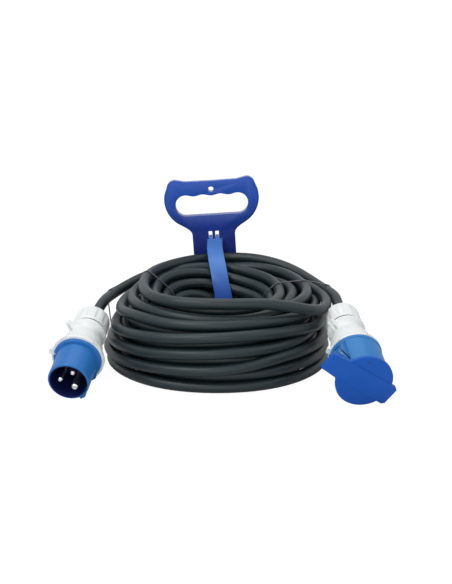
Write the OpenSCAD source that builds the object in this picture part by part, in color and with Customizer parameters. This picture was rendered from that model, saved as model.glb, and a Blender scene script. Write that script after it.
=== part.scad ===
// Shore power cord: a coiled three-core cable between a round pin plug and a
// lidded coupler, hung from a strap handle. Millimetres, +Z up. The origin is
// on the floor, below the middle of the plug, the coupler and the handle.

/* [Cable and coil] */
// Outside diameter of the rubber cable
cable_d = 12; // [11:0.5:12.5]
// Radius of the coil's hollow
coil_hollow_r = 52; // [46:1:56]
// Outside radius of the coil at the floor rows
coil_outer_r = 128; // [124:1:129]
// Height of the coil's top row
coil_h = 97; // [92:1:97]
// Coil centre, left to right
coil_x = -2; // [-3:0.5:0]
// Coil centre, front to back
coil_y = 20; // [19:0.5:21]

/* [Connector housings] */
// Outside radius of the ring that joins housing and front
collar_r = 28.5; // [27.5:0.5:30]
// Length of that ring, from the flange backwards
collar_len = 6.5; // [6:0.5:9]
// Thickness of the blue flange
flange_t = 3.5; // [3:0.5:4.5]
// Outside radius of the housing's bell, over the contact carrier
body_r = 22; // [21.8:0.1:23]
// Wall of the bell there
body_wall = 2; // [1.8:0.1:2.2]
// Outside radius of the housing's waist, in front of its rear ring
waist_r = 16.4; // [16.2:0.1:17]
// Outside radius of the rear ring that the gland nut closes on
ring_r = 20.5; // [20:0.1:21]
// Distance from flange front to the gland nut
body_len = 53; // [50:1:58]
// Length of the gland nut
nut_len = 27; // [24:1:32]
// Radius of the gland nut over its ribs
nut_r = 19.5; // [19:0.1:20]
// Radius of the gland thread
thread_r = 15.5; // [14.5:0.1:16]
// Length of the gland thread
thread_len = 15; // [13:1:17]
// Radius of the contact circle
contact_circle_r = 9.75; // [9.5:0.05:10]

/* [Plug] */
// Outside radius of the plug's shroud
shroud_r = 22; // [21.8:0.1:22.4]
// Wall of the plug's shroud
shroud_wall = 2.5; // [2:0.1:2.8]
// Length of the shroud in front of the flange
shroud_len = 38; // [36:1:40]
// Radius of the plug's flange
plug_flange_r = 26; // [25.5:0.1:27.5]
// Radius of the line and neutral pins
pin_r = 2.5; // [2.3:0.05:2.6]
// Radius of the earth pin
earth_pin_r = 3.5; // [3.3:0.05:3.6]
// How far the pins' tips stay behind the rim
pin_recess = 3; // [2:0.5:6]

/* [Coupler] */
// Outside radius of the coupler's skirt
skirt_r = 27.2; // [27:0.1:28]
// Wall of the coupler's skirt
skirt_wall = 2.4; // [2:0.1:2.6]
// Length of the skirt in front of the flange
skirt_len = 35; // [33:0.5:37]
// Radius of the coupler's flange
coupler_flange_r = 28.2; // [28:0.1:28.5]
// Radius of the contact insert
insert_r = 18.6; // [18.2:0.1:18.8]
// Bore radius of the line and neutral contacts
contact_bore_r = 2.6; // [2.6:0.05:2.8]
// Bore radius of the earth contact
earth_bore_r = 3.6; // [3.6:0.05:3.8]

/* [Lid] */
// Radius of the lid's disc
lid_r = 30; // [29:0.5:31]
// Thickness of the lid's disc
lid_t = 3.4; // [3:0.1:4]
// Width of the raised band across the lid
band_w = 24; // [22:1:26]
// Height of the raised band
band_t = 1; // [0.6:0.1:1.6]
// Reach of the thumb tab from the lid's centre
tab_reach = 36; // [34:0.5:37]
// Reach of the hinge hood from the lid's centre
hood_reach = 49.5; // [47:0.5:50.5]
// Distance from the lid's centre to the hinge pin
hinge_reach = 36.5; // [36:0.1:37]
// Radius of the hinge pin
hinge_pin_r = 1.5; // [1.2:0.1:1.8]
// Wire diameter of the lid's torsion spring
spring_wire_d = 1.2; // [0.8:0.1:1.4]

/* [Handle] */
// Width of the grip
grip_w = 115; // [112:1:118]
// Thickness of the grip
grip_t = 12; // [10:1:14]
// Width of the finger opening
opening_w = 88; // [84:1:92]
// Height of the finger opening
opening_h = 26.5; // [25:0.5:27]
// Height of the grip bar above the finger opening
bar_h = 15; // [14:0.5:17]
// Radius of the hanging hole
hang_hole_r = 3.4; // [2.5:0.1:4]
// Width of the plate below the grip
plate_w = 52; // [48:1:56]
// Thickness of the plate
plate_t = 4; // [3:0.5:5]
// Reach of the plate below the opening's centre
plate_drop = 72.5; // [69:0.5:73]
// Width of each strap slot in the plate
slot_w = 4.4; // [4:0.1:5]
// Height of each strap slot
slot_h = 9; // [8:0.5:10]
// Thickness of the strap
strap_t = 2.2; // [1.8:0.1:2.4]
// Width of the strap
strap_w = 20; // [18:0.5:22]

/* [Ties] */
// Thickness of a cable tie
tie_t = 1.3; // [1:0.1:1.5]
// Width of a cable tie
tie_w = 2.6; // [2:0.1:4]

/* [Hidden] */
$fn = 96;

// Clearances
fit = 0.05;       // running fit of pins, threads and bores
seat = 0.1;       // between pieces that never move on each other
clear = 0.3;      // between pieces of different bodies

// Colours
rubber_black = [0.09, 0.10, 0.11];
connector_blue = [0.13, 0.34, 0.72];
handle_blue = [0.10, 0.20, 0.58];
housing_white = [0.93, 0.94, 0.95];
pin_metal = [0.82, 0.82, 0.80];
brass = [0.80, 0.65, 0.30];
steel = [0.72, 0.73, 0.75];
carrier_black = [0.06, 0.06, 0.10];
line_brown = [0.42, 0.22, 0.10];
neutral_blue = [0.10, 0.30, 0.75];
earth_green = [0.55, 0.70, 0.15];

// Where the two connectors lie: how far the middle of the front rim is beside
// and ahead of the coil, then yaw and pitch
plug_beside = 25.8;
plug_ahead = 9.4;
plug_yaw = -8;
plug_pitch = 16.9;
coupler_beside = 21.8;
coupler_ahead = 30.6;
coupler_yaw = 7.4;
coupler_pitch = 17.3;

// Angles about each connector's own axis, from its right-hand side. The key
// rib and the keyway are in line with the earth, and the hinge is opposite it.
plug_earth_angle = -58;
lid_angle = 145;
coupler_earth_angle = lid_angle - 180;
plug_fin_angle = 139;
coupler_fin_angle = 139;
tab_angle = 165;
plug_slot_angle = 40;
coupler_slot_angle = 61;

// The connectors' stations along their own axes, flange front at 0
collar_back = -flange_t - collar_len;
nut_front = -body_len;
nut_gap = 2.2;
nut_back = nut_front - nut_len;
thread_back = nut_front - thread_len;
carrier_r = shroud_r - shroud_wall - fit;
carrier_bore_r = carrier_r + fit;
carrier_back = -26;
spigot_r = 24;
spigot_len = 4.2;
gasket_t = 1.6;
collar_floor = -flange_t - spigot_len - gasket_t;
seal_bore_r = cable_d / 2 + seat;
seal_r = 9.4;
neck_bore_r = seal_r + seat;
terminal_r = 4.2;
terminal_front = -14;
terminal_back = -40;
terminal_screw_z = -34;
terminal_screw_r = 1.5;
wire_r = 0.95;
core_r = 1.75;
jacket_end = -58;
clamp_len = 8;
nut_bore_r = cable_d / 2 + 2 * clear;

// Lid stations along the coupler's axis
lid_gap = 1.6;
lid_under = skirt_len + lid_gap;
lid_front = lid_under + lid_t + band_t;
hinge_z = skirt_len - 5;
ear_r = 4.6;
block_w = 22;
block_out = 34.6;
trough_w = 14;
knuckle_w = 6;
knuckle_r = 3.8;

plug_rim = [coil_x - coil_outer_r - plug_beside, coil_y - coil_outer_r - plug_ahead,
  shroud_r * cos(plug_pitch)];
coupler_rim = [coil_x + coil_outer_r + coupler_beside, coil_y - coil_outer_r - coupler_ahead,
  lid_r * cos(coupler_pitch)];

function axis_dir(yaw, pitch) =
  [sin(yaw) * cos(pitch), -cos(yaw) * cos(pitch), -sin(pitch)];
plug_dir = axis_dir(plug_yaw, plug_pitch);
coupler_dir = axis_dir(coupler_yaw, coupler_pitch);
plug_origin = plug_rim - shroud_len * plug_dir;
coupler_origin = coupler_rim - lid_front * coupler_dir;

module at_plug() {
  translate(plug_origin) rotate([0, 0, plug_yaw]) rotate([90 + plug_pitch, 0, 0]) children();
}
module at_coupler() {
  translate(coupler_origin) rotate([0, 0, coupler_yaw])
    rotate([90 + coupler_pitch, 0, 0]) children();
}
module tube(r_out, r_in, z0, z1) {
  translate([0, 0, z0]) difference() {
    cylinder(r = r_out, h = z1 - z0);
    translate([0, 0, -1]) cylinder(r = r_in, h = z1 - z0 + 2);
  }
}
module rod(r, z0, z1) {
  translate([0, 0, z0]) cylinder(r = r, h = z1 - z0);
}
// Turns a child to one of the three contact places: 0 earth, 1 line, 2 neutral.
// The coupler's contacts run the other way round, so that they meet the plug's.
module plug_turn(i) {
  rotate([0, 0, plug_earth_angle + 120 * i]) children();
}
module coupler_turn(i) {
  rotate([0, 0, coupler_earth_angle - 120 * i]) children();
}
module at_pin(i) {
  plug_turn(i) translate([contact_circle_r, 0, 0]) children();
}
module at_socket(i) {
  coupler_turn(i) translate([contact_circle_r, 0, 0]) children();
}

// ---------------------------------------------------------------- cable
// The coil's half section, floor rows first, then up the outside and over
foot_step = 6;
coil_section = [
  [coil_hollow_r, 0], [coil_outer_r - 7, 0], [coil_outer_r - 2, foot_step],
  [coil_outer_r, 22], [coil_outer_r - 4, 36], [coil_outer_r - 10, 46],
  [coil_outer_r - 10, coil_h - 31], [coil_outer_r - 16, coil_h - 19],
  [coil_outer_r - 25, coil_h - 9], [coil_outer_r - 33, coil_h - 1],
  [coil_outer_r - 44, coil_h], [coil_hollow_r + 22, coil_h - 6],
  [coil_hollow_r + 10, coil_h - 17], [coil_hollow_r, coil_h - 31]
];
strap_foot_x = coil_x + 8;
module cable_coil() {
  color(rubber_black) difference() {
    translate([coil_x, coil_y, 0]) rotate_extrude() polygon(coil_section);
    translate([strap_foot_x - strap_w / 2 - clear, coil_y, -1])
      cube([strap_w + 2 * clear, coil_outer_r + 5, strap_t + clear + 1]);
    for (a = [left_tie_angle, right_tie_angle])
      translate([coil_x, coil_y, 0]) rotate([0, 0, a])
        translate([coil_hollow_r - 5, -tie_w / 2 - clear, -1])
          cube([coil_outer_r, tie_w + 2 * clear, tie_t + clear + 1]);
  }
}

// A round tube swept along a list of points, closed at both ends
tube_sides = 10;
function unit(v) = v / norm(v);
function tangent(p, i) = unit(p[min(i + 1, len(p) - 1)] - p[max(i - 1, 0)]);
function side(t) = unit(cross(t, [0, 0, 1]));
function ring(p, i, r) =
  let (t = tangent(p, i), a = side(t), b = cross(a, t))
  [for (k = [0:tube_sides - 1])
    p[i] + r * (cos(360 * k / tube_sides) * a + sin(360 * k / tube_sides) * b)];
module swept_tube(p, r) {
  n = len(p);
  points = [for (i = [0:n - 1]) each ring(p, i, r)];
  sides = [for (i = [0:n - 2], k = [0:tube_sides - 1])
    let (a = i * tube_sides + k, b = i * tube_sides + (k + 1) % tube_sides)
    [a, b, b + tube_sides, a + tube_sides]];
  start = [for (k = [tube_sides - 1:-1:0]) k];
  end = [for (k = [0:tube_sides - 1]) (n - 1) * tube_sides + k];
  polyhedron(points, concat([start], sides, [end]));
}
// One more point between each pair, on a smooth curve through them all
function smooth(p) = [
  for (i = [0:len(p) - 2])
    let (a = p[max(i - 1, 0)], b = p[i], c = p[i + 1], d = p[min(i + 2, len(p) - 1)])
    each [b, (9 * (b + c) - a - d) / 16],
  p[len(p) - 1]
];

// A point on a tail: angle about the coil, then its reach beyond the coil's
// side and its rise above the top row
function by_coil(q) = [coil_x + (coil_outer_r + q[1]) * cos(q[0]),
  coil_y + (coil_outer_r + q[1]) * sin(q[0]), coil_h + q[2]];
tail_out = 13;
plug_tail_route = concat(
  [for (z = [jacket_end, nut_back, nut_back - tail_out]) plug_origin + z * plug_dir],
  [for (q = [[180, 3, -31], [173, 2, -31], [167, 1.5, -32], [160, 1, -32], [153, 0, -30],
    [145, -2, -27], [138, -3.5, -24], [132, -5, -22], [126, -6, -21], [120, -8.5, -24],
    [113, -12.5, -28], [106, -17, -33]]) by_coil(q)]);
coupler_tail_route = concat(
  [for (z = [jacket_end, nut_back, nut_back - tail_out]) coupler_origin + z * coupler_dir],
  [for (q = [[-4, 6.5, -22], [2, 2, -22], [9, -1.5, -22], [16, -4, -22], [24, -6, -20],
    [31, -8, -17], [38, -10.5, -13], [46, -14, -9], [55, -17.5, -6], [66, -19.5, -4],
    [75, -20.5, -4], [85, -19.5, -5], [94, -18.5, -6], [103, -19.5, -9], [110, -21.5, -15],
    [117, -24.5, -22]]) by_coil(q)]);
module plug_tail() {
  color(rubber_black) swept_tube(smooth(plug_tail_route), cable_d / 2);
}
module coupler_tail() {
  color(rubber_black) swept_tube(smooth(coupler_tail_route), cable_d / 2);
}

// ---------------------------------------------------------------- ties
left_tie_angle = 163;
right_tie_angle = 10;
tie_gap = 0.4;
tie_lock_t = 3.6;
tie_lock_len = 5;
tie_lock_z = 40;
// Outside of a tie's loop; the shoulder reaches over the cable's tail
function tie_outline(shoulder_r, shoulder_z) =
  let (in_r = coil_hollow_r - tie_gap - tie_t, out_r = coil_outer_r + tie_gap + tie_t)
  [[in_r, 0], [out_r - 5, 0], [out_r, 5], [out_r + 1, 30], [shoulder_r, shoulder_z - 8],
   [shoulder_r, shoulder_z + 3], [shoulder_r - 5, shoulder_z + 10],
   [coil_outer_r - 24, coil_h - 2], [coil_outer_r - 32, coil_h + 3],
   [coil_outer_r - 45, coil_h + 3], [coil_hollow_r + 20, coil_h - 3],
   [in_r + 8, coil_h - 14], [in_r, coil_h - 28]];
module tie_loop(angle, shoulder_r, shoulder_z) {
  translate([coil_x, coil_y, 0]) rotate([0, 0, angle]) rotate([90, 0, 0])
    translate([0, 0, -tie_w / 2]) {
      linear_extrude(tie_w) difference() {
        polygon(tie_outline(shoulder_r, shoulder_z));
        offset(delta = -tie_t) polygon(tie_outline(shoulder_r, shoulder_z));
      }
      // its lock, inside the hollow
      translate([coil_hollow_r - tie_gap - tie_t - tie_lock_t + 0.2, tie_lock_z, -0.8])
        cube([tie_lock_t, tie_lock_len, tie_w + 1.6]);
    }
}
module tie_left() {
  color(rubber_black) tie_loop(left_tie_angle, coil_outer_r + 11, coil_h - 31);
}
module tie_right() {
  color(rubber_black) tie_loop(right_tie_angle, coil_outer_r + 9, coil_h - 21);
}

// ---------------------------------------------------------------- handle
// The handle's own plane has its origin at the middle of the finger opening
handle_x = coil_x - 8;
handle_y = coil_y + coil_outer_r;
plate_lap = 15;
handle_z = coil_h - plate_lap + plate_drop;
handle_tilt = -3.6;
ear_rise = 3;
hang_rise = 5.2;
slot_gap = 8;
slot_top = -33.2;
neck_y = -opening_h / 2 - 18;
plate_back = grip_t / 2 - plate_t;
bottom_bar_h = 11;
function arc(cx, cy, r, a0, a1, n = 10) =
  [for (i = [0:n]) [cx + r * cos(a0 + (a1 - a0) * i / n), cy + r * sin(a0 + (a1 - a0) * i / n)]];
module at_handle() {
  translate([handle_x, handle_y, handle_z]) rotate([0, handle_tilt, 0])
    rotate([90, 0, 0]) children();
}
// The grip's outline. Its right half runs from the middle of the lower bar to the
// plate's edge, up round the side to the ear, and to the middle of the top
function mirrored(p) = concat(p, [for (i = [len(p) - 2:-1:1]) [-p[i][0], p[i][1]]]);
grip_outline = let (hw = grip_w / 2, neck = plate_w / 2, top = opening_h / 2 + bar_h,
    low = -opening_h / 2 - bottom_bar_h, side_r = hw - 22, horn_r = 10)
  mirrored(concat(
    [[0, low], [neck - 7, low - 1], [neck - 2, neck_y - 3], [neck, neck_y - 6],
     [neck + 0.8, neck_y - 3], [neck + 3, neck_y], [neck + 7, neck_y + 3.2]],
    arc(hw - side_r, low + 31, side_r, -62, 12),
    arc(hw - horn_r - 4, top + ear_rise - horn_r, horn_r, 10, 90),
    [[hw - 19, top + ear_rise - 1], [hw - 26, top + 0.4], [0, top]]));
// The finger opening, with soft finger bumps along its upper edge
bump_h = 1.8;
bumps = 3;
finger_opening =
  let (hw = opening_w / 2, hh = opening_h / 2, r = hh - 1)
  concat(
    arc(hw - r, -hh + r, r, -90, 0), arc(hw - r, hh - r - 0.5, r, 0, 90),
    [for (i = [1:39]) let (x = (hw - r) * (1 - i / 20))
      [x, hh - 0.5 - bump_h * (0.5 - 0.5 * cos(360 * bumps * i / 40))]],
    arc(-hw + r, hh - r - 0.5, r, 90, 180), arc(-hw + r, -hh + r, r, 180, 270));
module carry_handle() {
  rim = 2;
  color(handle_blue) at_handle() difference() {
    union() {
      translate([0, 0, -grip_t / 2 + rim]) linear_extrude(grip_t - 2 * rim)
        polygon(grip_outline);
      translate([0, 0, -grip_t / 2]) linear_extrude(grip_t)
        offset(delta = -rim) polygon(grip_outline);
      translate([-plate_w / 2, -plate_drop, plate_back])
        cube([plate_w, plate_drop - opening_h / 2 - 2, plate_t]);
    }
    translate([0, 0, -grip_t]) linear_extrude(2 * grip_t) polygon(finger_opening);
    translate([0, opening_h / 2 + hang_rise, -grip_t])
      cylinder(r = hang_hole_r, h = 2 * grip_t);
    for (s = [-1, 1]) translate([s * slot_gap / 2 - slot_w / 2, slot_top - slot_h, -grip_t])
      cube([slot_w, slot_h, 2 * grip_t]);
  }
}

// The strap: one flat band from the plate's foot, under the coil's rear rows,
// up through the hollow and over them to the slots. Each point is [x, y, z, width share].
inner_y = coil_y + coil_hollow_r - 6;
outer_y = coil_y + coil_outer_r + 2 * clear + strap_t / 2;
foot_z = strap_t / 2;
hook_t = 3.2;
hook_root = 1.8;
strap_top_x = handle_x + 3.6;
strap_route = [
  [strap_top_x, handle_y - 7, coil_h + 14.5, 0.92], [strap_top_x, handle_y - 16, coil_h + 11.5, 0.92],
  [strap_top_x, handle_y - 28, coil_h + 9, 0.93], [strap_top_x + 1, inner_y + 40, coil_h + 5.5, 0.94],
  [strap_top_x + 2.5, inner_y + 27, coil_h, 0.95], [strap_top_x + 5, inner_y + 13, coil_h - 9, 0.96],
  [strap_top_x + 7.4, inner_y + 5, coil_h - 21, 0.97], [strap_foot_x - 2, inner_y, coil_h - 35, 1],
  [strap_foot_x - 1, inner_y - 1.5, 45, 1], [strap_foot_x, inner_y - 2, 25, 1],
  [strap_foot_x, inner_y - 1.8, 8, 1], [strap_foot_x, inner_y - 0.8, 2.8, 1],
  [strap_foot_x, inner_y + 2, foot_z, 1], [strap_foot_x, inner_y + 26, foot_z, 1],
  [strap_foot_x, outer_y - 32, foot_z, 1], [strap_foot_x, outer_y - 8, foot_z, 1],
  [strap_foot_x, outer_y - 2, 2.6, 1], [strap_foot_x, outer_y, 10, 1],
  [strap_foot_x - 1, outer_y, 35, 1], [strap_foot_x - 5, outer_y, 60, 1],
  [strap_top_x, handle_y - plate_back - plate_t / 2, handle_z - plate_drop - 2 * seat, 1]
];
strap_tilt = [-3.6, -4, -5, -6, -7, -7, -6, -4, -2, 0, 0, 0, 0, 0, 0, 0, 0, 0, -1, -2.5, -3.6];
function strap_ring(i) =
  let (q = strap_route[i], p = [q[0], q[1], q[2]], hw = strap_w * q[3] / 2,
       a = strap_route[max(i - 1, 0)], b = strap_route[min(i + 1, len(strap_route) - 1)],
       t = unit([0, b[1] - a[1], b[2] - a[2]]), n = strap_t / 2 * [0, -t[2], t[1]],
       w = hw * [cos(strap_tilt[i]), 0, -sin(strap_tilt[i])])
  [p - w - n, p + w - n, p + w + n, p - w + n];
module handle_strap() {
  n = len(strap_route);
  points = [for (i = [0:n - 1]) each strap_ring(i)];
  sides = [for (i = [0:n - 2], k = [0:3])
    let (a = 4 * i + k, b = 4 * i + (k + 1) % 4) [a, b, b + 4, a + 4]];
  color(handle_blue) {
    polyhedron(points, concat([[3, 2, 1, 0]], sides,
      [[4 * n - 4, 4 * n - 3, 4 * n - 2, 4 * n - 1]]));
    // its two hooks, through the slots
    at_handle() for (s = [-1, 1])
      translate([s * slot_gap / 2 - slot_w / 2 + clear, slot_top - slot_h, 0]) {
        translate([0, clear, plate_back - 2])
          cube([slot_w - 2 * clear, hook_t, plate_t + 4]);
        translate([0, clear + seat - hook_root, grip_t / 2 + clear])
          cube([slot_w - 2 * clear, hook_root, 2 - clear]);
      }
  }
}

// ---------------------------------------------------------------- shared connector pieces
// Housing with a wide collar, a waist, a rear ring and a threaded neck for the
// gland nut. A pair of fins, a tab on the collar and two key slots stand out.
fin_t = 2;
fin_gap = 2.6;
fin_out = 6.5;
tab_w = 6;
tab_h = 3;
key_slot_w = 9;
slot_pitch = 78;
ring_len = 3.6;
ring_back = nut_front + nut_gap;
ring_front = ring_back + ring_len;
waist_z = ring_front + 2.6;
wall_min = 1.8;
module housing(fin_angle, slot_angle) {
  bell = [
    [spigot_r + seat, -flange_t], [collar_r, -flange_t], [collar_r, collar_back + 3],
    [collar_r - 1.2, collar_back], [body_r + 2.4, collar_back - 0.6], [body_r + 0.8, collar_back - 6],
    [body_r, carrier_back], [waist_r + 3.2, waist_z + 11.5], [waist_r + 0.8, waist_z + 6],
    [waist_r, waist_z + 1], [waist_r + 1.2, waist_z - 0.8], [ring_r - 0.4, ring_front],
    [ring_r, ring_front - 0.6], [ring_r, ring_back + 0.8], [ring_r - 0.8, ring_back],
    [thread_r, ring_back], [thread_r, thread_back + 1], [thread_r - 1, thread_back],
    [neck_bore_r, thread_back], [neck_bore_r, nut_front + 2], [waist_r - wall_min - 0.8, waist_z + 1],
    [waist_r + 0.8 - wall_min, waist_z + 6], [body_r - body_wall, carrier_back - 0.4],
    [body_r - body_wall, collar_floor], [spigot_r + seat, collar_floor]
  ];
  difference() {
    union() {
      rotate_extrude() polygon(bell);
      rotate([0, 0, fin_angle]) for (s = [-1, 1])
        translate([0, s * (fin_gap + fin_t) / 2 + fin_t / 2, 0]) rotate([90, 0, 0])
          linear_extrude(fin_t) polygon([
            [waist_r - 1, waist_z + 10], [ring_r + fin_out, ring_front + 1.4],
            [ring_r + fin_out - 1, ring_front - 0.2], [waist_r - 1, ring_front - 0.6]]);
      rotate([0, 0, tab_angle]) translate([collar_r - 1, -tab_w / 2, collar_back + 2.2])
        cube([tab_h + 1, tab_w, 4]);
    }
    for (a = [slot_angle, slot_angle + slot_pitch]) rotate([0, 0, a])
      translate([collar_r - 1.6, -key_slot_w / 2, -flange_t - 2.6]) cube([3, key_slot_w, 2.2]);
  }
}
ribs = 12;
flute_r = 6;
flute_depth = 0.8;
module gland_nut() {
  profile = [
    [thread_r + fit, nut_front], [nut_r - 0.8, nut_front], [nut_r, nut_front - 1],
    [nut_r, nut_back + 7], [nut_r - 1.2, nut_back + 2.5], [nut_r - 4.5, nut_back],
    [nut_bore_r, nut_back], [nut_bore_r, nut_back + 3], [13, nut_back + 5.5],
    [thread_r + fit, thread_back - 2]
  ];
  difference() {
    rotate_extrude() polygon(profile);
    for (i = [0:ribs - 1]) rotate([0, 0, 360 * i / ribs])
      translate([nut_r + flute_r - flute_depth, 0, nut_back - 1])
        cylinder(r = flute_r, h = nut_len - 4, $fn = 48);
  }
}
// Seal round the cable inside the neck, and the ring that the nut closes on
module gland_seal() {
  tube(seal_r, seal_bore_r, thread_back, nut_front + 1.5);
  tube(nut_r - 1.4, thread_r + fit, nut_front + clear, ring_back - fit);
}
// Cone of six fingers that the nut presses onto the cable
fingers = 6;
finger_slit = 1.2;
clamp_r = 12.6;
clamp_base = 2.4;
module cable_clamp() {
  back = thread_back - clamp_len + 1;
  difference() {
    rotate_extrude() polygon([
      [seal_bore_r, back], [seal_bore_r + 1.9, back], [clamp_r, thread_back - clamp_base],
      [clamp_r, thread_back], [seal_bore_r, thread_back]]);
    for (i = [0:fingers - 1]) rotate([0, 0, 360 * i / fingers])
      translate([seal_bore_r - 1, -finger_slit / 2, back - 1])
        cube([clamp_r, finger_slit, clamp_len - 1.6]);
  }
}
module gasket() {
  tube(spigot_r - 0.2, carrier_bore_r + 0.3, collar_floor + 0.05, -flange_t - spigot_len - 0.05);
}
// Clamping screw of a terminal, pointing outwards, with a slot in its head
module terminal_screw() {
  head_r = terminal_screw_r + 0.9;
  head_z = terminal_r + 0.15;
  head_t = 1.45;
  slot_depth = 0.6;
  translate([0, 0, terminal_screw_z]) rotate([0, 90, 0]) difference() {
    union() {
      rod(terminal_screw_r, wire_r + clear, head_z + 0.15);
      rod(head_r, head_z, head_z + head_t);
    }
    translate([-head_r - 1, -0.3, head_z + head_t - slot_depth])
      cube([2 * head_r + 2, 0.6, slot_depth + 1]);
  }
}
// Solid rear half of a contact, with its wire hole and screw hole
module terminal(z1) {
  difference() {
    rod(terminal_r, terminal_back, z1);
    rod(wire_r + fit, terminal_back - 1, terminal_back + 11);
    translate([0, 0, terminal_screw_z]) rotate([0, 90, 0]) rod(terminal_screw_r + fit, 0, 6);
  }
}
// An insulated conductor: straight through the gland, leaning out to its
// terminal, straight again behind it, with its bare tip inside
core_start_r = 2.35;
core_start = jacket_end + clear;
core_bend = nut_front + 2.4;
core_end = terminal_back - 0.2;
core_straight = 1.6;
wire_reach = 9;
module core() {
  rise = core_end - core_straight - core_bend;
  lean = atan((contact_circle_r - core_start_r) / rise);
  translate([core_start_r, 0, 0]) rod(core_r, core_start, core_bend + 0.6);
  translate([core_start_r, 0, core_bend]) rotate([0, lean, 0])
    cylinder(r = core_r, h = rise / cos(lean) + 0.4);
  translate([contact_circle_r, 0, 0]) {
    rod(core_r, core_end - core_straight, core_end);
    rod(wire_r, core_end - 1, core_end + wire_reach);
  }
}

// ---------------------------------------------------------------- plug
key_w = 6;
key_h = 2.6;
key_setback = 1.5;
lug_w = 10;
lug_out = 1.4;
tab_notch_w = 5;
module plug_shroud() {
  color(connector_blue) at_plug() difference() {
    union() {
      rod(shroud_r, -flange_t, shroud_len - 1);
      translate([0, 0, shroud_len - 1]) cylinder(r1 = shroud_r, r2 = shroud_r - 0.8, h = 1);
      rotate_extrude() polygon([[0, -flange_t], [plug_flange_r, -flange_t],
        [plug_flange_r, -1], [plug_flange_r - 1, 0], [0, 0]]);
      rod(spigot_r, -flange_t - spigot_len, -flange_t + 0.5);
      rotate([0, 0, plug_earth_angle]) translate([shroud_r - 1, -key_w / 2, 0])
        cube([key_h + 1, key_w, shroud_len - key_setback]);
      rotate([0, 0, plug_earth_angle]) translate([plug_flange_r - 3, -lug_w / 2, -flange_t])
        cube([lug_out + 3, lug_w, flange_t + 3]);
    }
    rod(carrier_bore_r, -flange_t - spigot_len - 1, shroud_len + 1);
    rotate([0, 0, tab_angle]) translate([plug_flange_r - 2.4, -tab_notch_w / 2, -flange_t - 1])
      cube([4, tab_notch_w, flange_t + 2]);
  }
}
carrier_face = 2;
pin_shoulder = 0.4;
pin_chamfer = 1.2;
pin_tip = shroud_len - pin_recess;
carrier_core_r = 3;
carrier_core_depth = 12;
module plug_contact_carrier() {
  color(carrier_black) at_plug() difference() {
    rod(carrier_r, carrier_back, carrier_face);
    for (i = [0:2]) at_pin(i) {
      rod((i == 0 ? earth_pin_r : pin_r) + pin_shoulder + fit, carrier_back - 1, carrier_face + 1);
      rod(terminal_r + fit, carrier_back - 1, terminal_front + fit);
    }
    rod(carrier_core_r, carrier_back - 1, carrier_back + carrier_core_depth);
  }
}
module contact_pin(i, r, tip_z) {
  at_pin(i) {
    rod(r + pin_shoulder, terminal_front - 0.5, carrier_face);
    rod(r, carrier_face - 0.5, tip_z - pin_chamfer);
    translate([0, 0, tip_z - pin_chamfer]) cylinder(r1 = r, r2 = r - 1, h = pin_chamfer);
    terminal(terminal_front);
  }
}
module pin_earth() {
  color(pin_metal) at_plug() contact_pin(0, earth_pin_r, pin_tip + 1);
}
module pin_line() {
  color(pin_metal) at_plug() contact_pin(1, pin_r, pin_tip);
}
module pin_neutral() {
  color(pin_metal) at_plug() contact_pin(2, pin_r, pin_tip);
}
module plug_terminal_screws() {
  color(steel) at_plug() for (i = [0:2]) at_pin(i) terminal_screw();
}
module plug_gasket() {
  color(rubber_black) at_plug() gasket();
}
module plug_housing() {
  color(housing_white) at_plug() housing(plug_fin_angle, plug_slot_angle);
}
module plug_gland_seal() {
  color(rubber_black) at_plug() gland_seal();
}
module plug_cable_clamp() {
  color(housing_white) at_plug() cable_clamp();
}
module plug_gland_nut() {
  color(housing_white) at_plug() gland_nut();
}
module plug_core_line() {
  color(line_brown) at_plug() plug_turn(1) core();
}
module plug_core_neutral() {
  color(neutral_blue) at_plug() plug_turn(2) core();
}
module plug_core_earth() {
  color(earth_green) at_plug() plug_turn(0) core();
}

// ---------------------------------------------------------------- coupler
skirt_in_r = skirt_r - skirt_wall;
insert_face = skirt_len - 2;
contact_wall = 0.8;
keyway_gap = 0.4;
keyway_depth = 1;
// Puts a rod of radius r and width w along the hinge, in the middle of the ears
module across_hinge(r, w) {
  translate([hinge_reach, w / 2, hinge_z]) rotate([90, 0, 0]) cylinder(r = r, h = w);
}
// The bracket bonded on the skirt. It ends in two ears, with a trough between them
// for the lid's knuckle and its springs, and has a pocket in its outer face
block_foot = 2;
block_foot_out = 1.6;
block_shoulder = hinge_z - 12;
block_top = hinge_z - 2;
brow_foot = hinge_z - 6;
trough_foot = hinge_z - ear_r;
trough_floor = 0.6;
pocket_w = 9;
pocket_foot = 4.4;
pocket_len = 4.6;
module hinge_bracket() {
  color(connector_blue) at_coupler() rotate([0, 0, lid_angle]) difference() {
    union() {
      translate([0, block_w / 2, 0]) rotate([90, 0, 0]) linear_extrude(block_w)
        polygon([[skirt_in_r, block_foot], [skirt_r + block_foot_out, block_foot],
          [block_out, block_shoulder], [block_out, block_top], [skirt_in_r, block_top]]);
      translate([skirt_in_r + 1, -block_w / 2, brow_foot])
        cube([hinge_reach - skirt_in_r - 1, block_w, hinge_z + ear_r - brow_foot]);
      across_hinge(ear_r, block_w);
    }
    rod(skirt_r + seat / 2, block_foot - 1, skirt_len + 1);
    translate([skirt_r + trough_floor, -trough_w / 2, trough_foot])
      cube([hinge_reach, trough_w, hinge_z]);
    translate([skirt_r + trough_floor, -pocket_w / 2, pocket_foot])
      cube([block_out, pocket_w, pocket_len]);
    across_hinge(hinge_pin_r + fit, block_w + 2);
  }
}
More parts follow.
